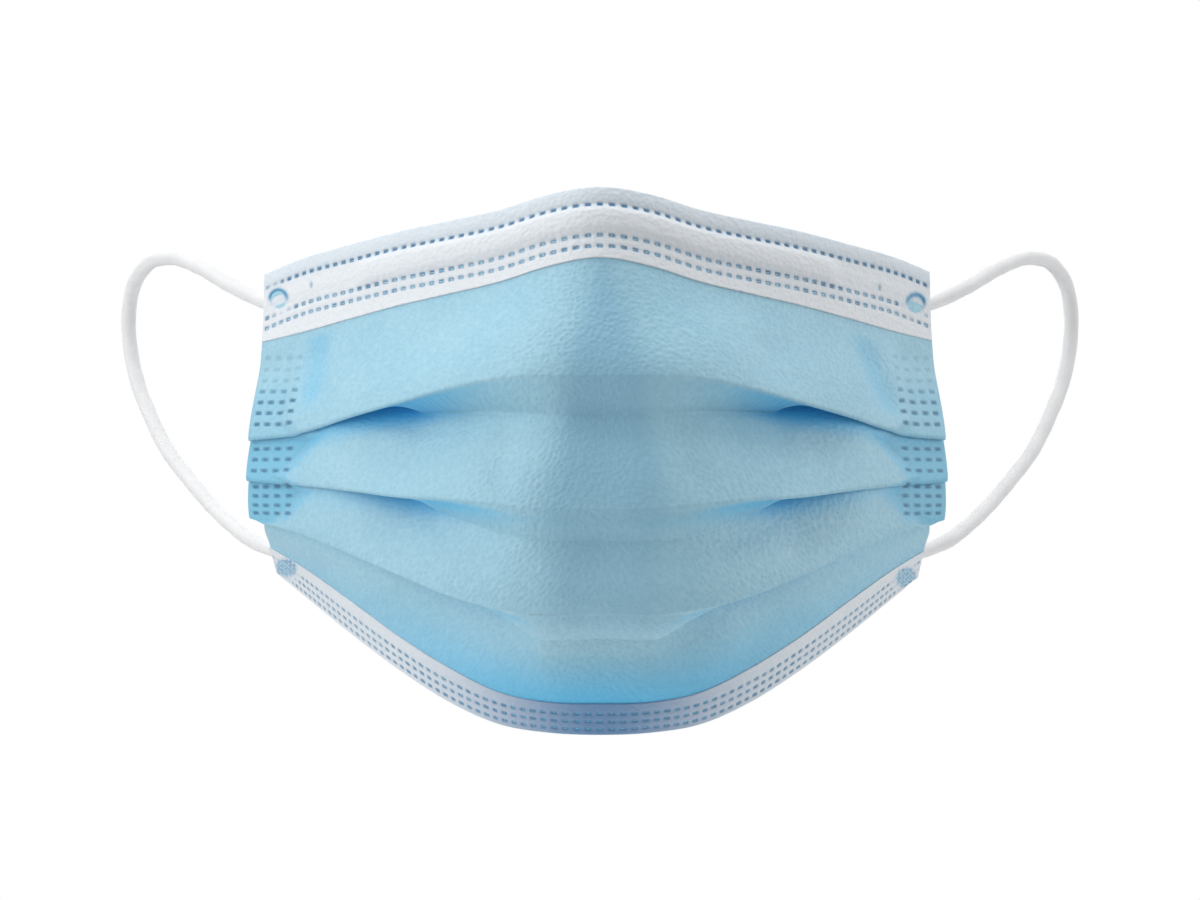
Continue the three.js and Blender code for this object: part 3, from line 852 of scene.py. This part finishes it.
def make_plies():
    """Outer blue ply and inner white ply on the same pleated path."""
    plies = {}
    u = cloth_columns(MIDDLE_STEPS, STRIP_STEPS)
    path, inset, fold_rows = cloth_path(u)
    for name, material, slot, front in (
        ("outer_ply", BLUE_CLOTH, "blue_cloth", -WALL / 2),
        ("inner_ply", INNER_CLOTH, "white_cloth", PLY_APART / 2),
    ):
        u_rows = u[:, None] * np.ones(path.shape[1])
        weld = side_dashes(u_rows, path[..., 0])
        # Painted shade in the first three marks; the weld dashes in the last.
        marks = {
            "middle_shade": middle_shade_share(u_rows, path[..., 0]),
            "dusk": dusk_of_cloth(u_rows, path, fold_rows),
            "press_shade": pressed_shade_share(u_rows, path[..., 0]),
            "weld": weld,
        }
        marks = {mark: both_faces(values) for mark, values in marks.items()}
        points, uv = cloth_wall(u, path, front, front + PLY_THICK, 0.12 * weld, inset)
        quads = wall_quads(len(u), path.shape[1])
        plies[name] = make_piece(name, points, quads, material, "pleated_panel", uv, marks)
    return plies


def even_columns(count, along):
    """Columns u evenly spaced by length along a level line."""
    fine = np.linspace(-1, 1, 2001)
    length = across_length(fine, along)
    return np.interp(np.linspace(length[0], length[-1], count), length, fine)


HEM_COLUMNS = 603
WIRE_MIDDLE = 6.6
WIRE_WIDE = 3.0
WIRE_THICK = 0.65
WIRE_HALF_LENGTH = 46.0 / 68.0


def wire_bulge(u):
    """1 over the nose wire, fading past its ends."""
    return 1 - smooth((np.abs(u) - WIRE_HALF_LENGTH) / 0.06)


def hem_rows(u, from_edge, across, rows):
    """Dashes along a hem, 0 to 1, and the shallow groove that each row of them lies in."""
    phase = ((across / HEM_DASH_PITCH + 0.5) % 1.0 - 0.5) * HEM_DASH_PITCH
    dash = spot(phase, HEM_DASH[0], DASH_SOFT)
    aside = smooth((np.abs(u) - 0.3) / 0.7)
    away = [from_edge - middle - (side - middle) * aside for middle, side in rows]
    lines = sum(spot(distance, HEM_DASH[1], DASH_SOFT) for distance in away)
    groove = sum(hump(distance, 0.6) for distance in away)
    return dash * lines, groove


def make_top_hem():
    """White ply turned over the top edge: front leg over the wire, round the edge, and back."""
    u = even_columns(HEM_COLUMNS, TOP_HEM_LEVEL)
    form = Form(u)
    raised = -HEM_DEPTH - (WIRE_THICK + 0.06) * wire_bulge(u)
    half = WIRE_WIDE / 2 + 0.1
    path = Path(form.length_at("top_hem"), -HEM_DEPTH)
    path.run(WIRE_MIDDLE + half + 1.5, -HEM_DEPTH, 20)
    path.run(WIRE_MIDDLE + half, raised, 5)
    path.run(WIRE_MIDDLE - half, raised, 8, belly=0.12)
    path.run(WIRE_MIDDLE - half - 1.6, -HEM_DEPTH, 7)
    path.run(HEM_DEPTH, -HEM_DEPTH, 12, belly=0.15)
    path.arc(HEM_DEPTH, np.full(u.shape, np.pi), np.zeros(u.shape), 8)
    path.run(3.6, HEM_DEPTH, 6)
    rows = path.points()
    u_rows = u[:, None] * np.ones(rows.shape[1])
    point = form_point(u, rows[..., 0])
    across = across_length(u, TOP_HEM_LEVEL)[:, None]
    in_front = rows[..., 1] < 0
    weld, groove = hem_rows(u_rows, rows[..., 0], across, TOP_ROWS)
    seal, dimple = 0.0, 0.0
    for mark in TOP_SEALS:
        away = seal_distance(point, mark)
        # Painted shadow: each seal's ring is coloured mostly along its upper side, as the shadow
        # of the dent's raised rim; the faint rest of the ring and its middle are the mark's own
        # colour.
        rim_shadow = smooth((point[..., 2] - mark.z + 0.9) / 1.8)
        ring = hump(away - 0.86, 0.2)
        seal = seal + ring * (0.12 + 0.88 * rim_shadow) + 0.1 * spot(away, 0.7, 0.3)
        dimple = dimple + 0.32 * spot(away, 0.72, 0.3)
        weld, groove = weld * smooth(away - 1.0), groove * smooth(away - 1.0)
    for tick in TICKS:
        away = seal_distance(point, tick)
        seal, dimple = seal + 0.55 * spot(away, 0.6, 0.6), dimple + 0.2 * spot(away, 0.6, 0.6)
    band = 0.32 * spot(rows[..., 0] - 1.6, 1.2, 1.4) + 0.3 * groove
    marks = {"weld": weld, "seal": np.clip(seal, 0, 1), "shade": np.clip(band, 0, 1)}
    marks = {mark: both_faces(values * in_front) for mark, values in marks.items()}
    dent = (0.16 * weld + 0.10 * groove + dimple) * in_front
    solid, uv = cloth_wall(u, rows, HEM_THICK / 2, -HEM_THICK / 2, -dent)
    quads = wall_quads(len(u), rows.shape[1])[:, ::-1]
    return make_piece("top_hem_ply", solid, quads, HEM_CLOTH, "top_hem", uv, marks)


def make_bottom_hem():
    """White ply turned under the bottom edge, with three rows of dashes."""
    u = even_columns(HEM_COLUMNS, BOTTOM_HEM_LEVEL)
    form = Form(u)
    edge = form.length_at("bottom_edge")
    path = Path(form.length_at("bottom_hem"), -HEM_DEPTH)
    path.run(edge - HEM_DEPTH, -HEM_DEPTH, 32)
    path.arc(HEM_DEPTH, np.zeros(u.shape), np.full(u.shape, np.pi), 8)
    path.run(edge - 3.0, HEM_DEPTH, 6)
    rows = path.points()
    u_rows = u[:, None] * np.ones(rows.shape[1])
    point = form_point(u, rows[..., 0])
    across = across_length(u, BOTTOM_HEM_LEVEL)[:, None]
    in_front = rows[..., 1] < 0
    weld, groove = hem_rows(u_rows, edge[:, None] - rows[..., 0], across, BOTTOM_ROWS)
    seal = 0.0
    for mark in BOTTOM_SEALS:
        away = seal_distance(point, mark)
        slant = 3.6 * (point[..., 0] + point[..., 2])
        hatch = 0.7 + 0.5 * np.sin(slant) * np.sin(3.9 * (point[..., 0] - point[..., 2]))
        seal = seal + spot(away, 0.6, 0.5) * hatch
        weld = weld * smooth(away - 0.9)
    # Painted shade: darker and bluer towards the middle of the bottom hem, where it turns down
    # under the chin, away from the light.
    chin_shade = 0.9 * hump(u_rows, 0.36)
    shade = 0.12 + 0.25 * np.clip(groove, 0, 1)
    marks = {"weld": weld, "seal": np.clip(seal, 0, 1), "shade": shade, "chin_shade": chin_shade}
    marks = {mark: both_faces(values * in_front) for mark, values in marks.items()}
    dent = (0.16 * weld + 0.10 * groove + 0.25 * seal) * in_front
    solid, uv = cloth_wall(u, rows, -HEM_THICK / 2, HEM_THICK / 2, dent)
    quads = wall_quads(len(u), rows.shape[1])
    return make_piece(
        "bottom_hem_ply", solid, quads, HEM_CLOTH, "bottom_hem", uv, marks
    )


def make_nose_wire():
    """Flat coated strip with rounded edges, lying under the top hem."""
    u = np.linspace(-WIRE_HALF_LENGTH, WIRE_HALF_LENGTH, 161)
    angle = np.linspace(0, 2 * np.pi, 24, endpoint=False)
    middle = -(WALL / 2 + HEM_GAP + WIRE_THICK / 2)
    end = np.sqrt(np.clip((WIRE_HALF_LENGTH - np.abs(u)) / 0.02, 0.02, 1))[:, None]
    soft = lambda wave: np.sign(wave) * np.abs(wave) ** 0.5
    along = WIRE_MIDDLE + (WIRE_WIDE / 2) * soft(np.sin(angle))[None] * end
    depth = middle + (WIRE_THICK / 2) * soft(np.cos(angle))[None] * end
    points = place_on_form(u[:, None] * np.ones(len(angle)), along, depth).reshape(-1, 3)
    across = across_length(u, TOP_HEM_LEVEL)[:, None]
    uv = np.stack(np.broadcast_arrays(angle[None], across), axis=-1)
    piece = make_piece(
        "nose_strip", points, tube_quads(len(u), len(angle)), WIRE_COAT, "nose_wire",
        uv.reshape(-1, 2),
    )
    last = (len(u) - 1) * len(angle)
    close_ends(piece, [np.arange(len(angle)), np.arange(len(angle)) + last])
    return piece


PLIES = make_plies()
make_top_hem()
make_bottom_hem()
make_nose_wire()

# ---------------------------------------------------------------- welded cord ends
def make_weld(weld, side, sign):
    """Flattened end of a cord: a rounded plate. Its outline is an oval squared by raising sine
    and cosine to the power 0.75, and its edge rounds off as the square root of 1 - |rise|^3."""
    centre, across, inward, down = weld_place(weld, sign, WALL / 2 + WELD_HALF[2] + HEM_GAP)
    lean = sign * weld.lean if weld.from_top else -sign * weld.lean
    long_way = across * math.cos(lean) + down * math.sin(lean)
    wide_way = np.cross(inward, long_way)
    turn, rise = np.meshgrid(
        np.linspace(0, 2 * np.pi, 40, endpoint=False), np.linspace(-1, 1, 15)[1:-1], indexing="xy"
    )
    round_off = np.sqrt(1 - np.abs(rise) ** 3)
    soft = lambda wave, power: np.sign(wave) * np.abs(wave) ** power
    ripple = 1 + 0.03 * np.cos(12 * turn)
    local = (
        WELD_HALF[0] * soft(np.cos(turn), 0.75) * round_off * ripple,
        WELD_HALF[1] * soft(np.sin(turn), 0.75) * round_off * ripple,
        WELD_HALF[2] * rise + 0.0 * turn,
    )
    points = centre + sum(
        value[..., None] * way for value, way in zip(local, (long_way, wide_way, inward))
    )
    rings, sides = turn.shape
    uv = np.stack((local[0], local[1]), axis=-1).reshape(-1, 2)
    piece = make_piece(
        f"cord_end_{weld.name}_{side}", points.reshape(-1, 3), tube_quads(rings, sides), ELASTIC,
        f"loop_weld_{weld.name}_{side}", uv,
    )
    close_ends(piece, [np.arange(sides), np.arange(sides) + (rings - 1) * sides])
    return piece


for side_name, side_sign in (("left", -1), ("right", 1)):
    for weld_row in WELDS:
        make_weld(weld_row, side_name, side_sign)

# ---------------------------------------------------------------- light and floor
# Soft boxes round the mask. x, y, z: place in metres. power: watts
Box = namedtuple("Box", "name x y z power")
BOXES = (
    Box("left_box", -1.3, -0.2, 0.1, 3.9),
    Box("left_back_box", -1.25, 0.25, 0.35, 0.9),
    Box("left_front_box", -0.95, -0.85, 0.3, 3.3),
    Box("left_high_box", -0.8, -0.4, 1.0, 5.1),
    Box("right_box", 1.3, -0.2, 0.1, 4.4),
    Box("right_back_box", 1.25, 0.25, 0.35, 4.0),
    Box("top_back_box", 0.0, 0.15, 1.35, 10.2),
    Box("low_left_box", -0.9, -0.6, -0.7, 1.9),
    Box("inside_box", 0.0, 1.4, 0.3, 16.0),
)
BOX_SIZE = 0.9
AIM = np.array((0.0, 0.045, -0.048))
WORLD_LIGHT = 0.32


def softbox(name, place, power):
    """Square area light at a place, facing the middle of the mask."""
    data = bpy.data.lights.new(name, "AREA")
    data.shape = "RECTANGLE"
    data.size = data.size_y = BOX_SIZE
    data.energy = power
    light = bpy.data.objects.new(name, data)
    light.location = place
    way = AIM - np.array(place)
    tip = math.atan2(math.hypot(way[0], way[1]), -way[2])
    light.rotation_euler = (tip, 0.0, math.atan2(way[1], way[0]) - math.pi / 2)
    bpy.context.collection.objects.link(light)


def studio():
    """Soft boxes all round, a weak even light, and a background that the camera sees white."""
    for box in BOXES:
        softbox(box.name, (box.x, box.y, box.z), box.power)
    world = bpy.data.worlds.new("studio")
    bpy.context.scene.world = world
    world.use_nodes = True
    nodes, links = world.node_tree.nodes, world.node_tree.links
    nodes.clear()
    seen = nodes.new("ShaderNodeBackground")
    lit = nodes.new("ShaderNodeBackground")
    seen.inputs["Color"].default_value = (1.0, 1.0, 1.0, 1.0)
    lit.inputs["Color"].default_value = (1.0, 1.0, 1.0, 1.0)
    lit.inputs["Strength"].default_value = WORLD_LIGHT
    path = nodes.new("ShaderNodeLightPath")
    mix = nodes.new("ShaderNodeMixShader")
    out = nodes.new("ShaderNodeOutputWorld")
    links.new(path.outputs["Is Camera Ray"], mix.inputs["Fac"])
    links.new(lit.outputs["Background"], mix.inputs[1])
    links.new(seen.outputs["Background"], mix.inputs[2])
    links.new(mix.outputs["Shader"], out.inputs["Surface"])
    bpy.context.scene.view_settings.view_transform = "Standard"


FLOOR_BELOW = 0.5
FLOOR_RADIUS = 0.5
FLOOR_SIDES = 96


def pale_floor():
    """Round floor well below the mask, with a faint grain."""
    angle = np.linspace(0, 2 * np.pi, FLOOR_SIDES, endpoint=False)
    height = np.full(FLOOR_SIDES, CAD_LOW[2] - FLOOR_BELOW)
    rim = np.stack((FLOOR_RADIUS * np.cos(angle), FLOOR_RADIUS * np.sin(angle), height), axis=-1)
    mesh = bpy.data.meshes.new("floor")
    mesh.from_pydata(rim, [], [tuple(range(FLOOR_SIDES))])
    material, shader, node, links = new_material("pale_floor")
    place = node("ShaderNodeTexCoord").outputs["Object"]
    grain = node("ShaderNodeTexNoise", {"Vector": place, "Scale": 30.0})
    tones = {"Factor": grain.outputs["Fac"], 6: srgb(244, 244, 244), 7: srgb(248, 248, 248)}
    tint = node("ShaderNodeMix", tones, data_type="RGBA")
    links.new(tint.outputs[2], shader.inputs["Base Color"])
    shader.inputs["Roughness"].default_value = 0.9
    mesh.materials.append(material)
    floor = bpy.data.objects.new("floor", mesh)
    bpy.context.collection.objects.link(floor)
    floor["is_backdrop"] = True


studio()
pale_floor()
